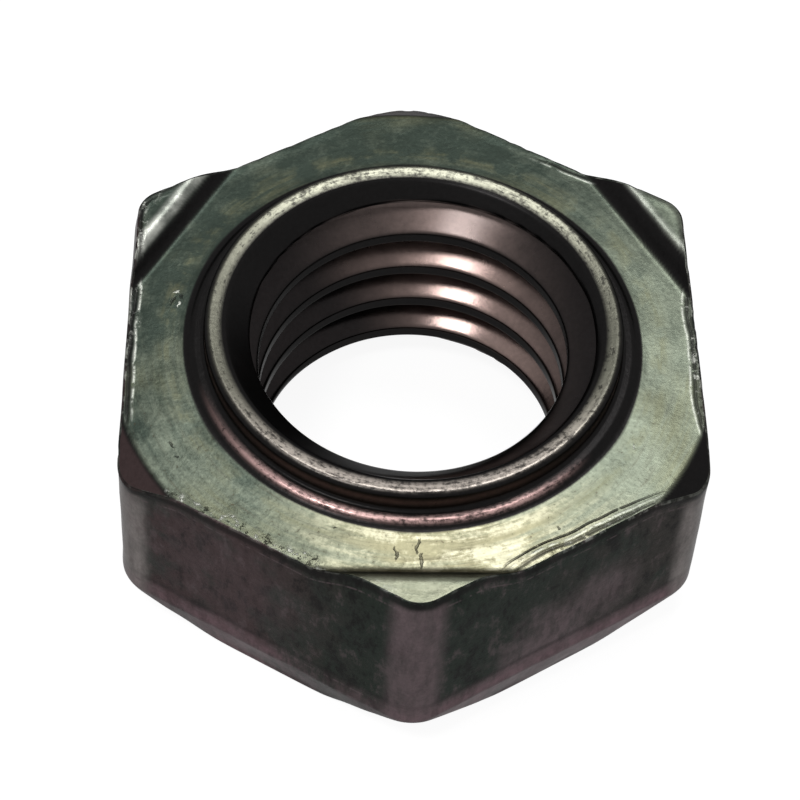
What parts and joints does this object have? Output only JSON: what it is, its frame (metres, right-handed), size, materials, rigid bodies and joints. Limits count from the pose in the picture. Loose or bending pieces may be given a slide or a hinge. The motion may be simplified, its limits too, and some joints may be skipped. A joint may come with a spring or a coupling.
{
  "type": "hex weld nut",
  "caption": "Hexagon weld nut in plain cold-forged steel, with a threaded bore, a centring collar and weld projections on alternate corners.",
  "frame": {"origin": "on the thread's axis, in the bearing face, the flat face without the weld projections", "axes": "+Z along the thread's axis towards the centring collar; hexagon corners at -90, -30, 30, 90, 150 and 210 degrees about Z, the weld projections at -90, 30 and 150 degrees"},
  "size_m": [0.019, 0.0214, 0.0086],
  "materials": {
    "steel": "plain cold-forged steel, uncoated and lightly oiled, with a dull grey-green sheen"
  },
  "bodies": {
    "root": {"weld_nut": "steel"}
  },
  "joints": []
}
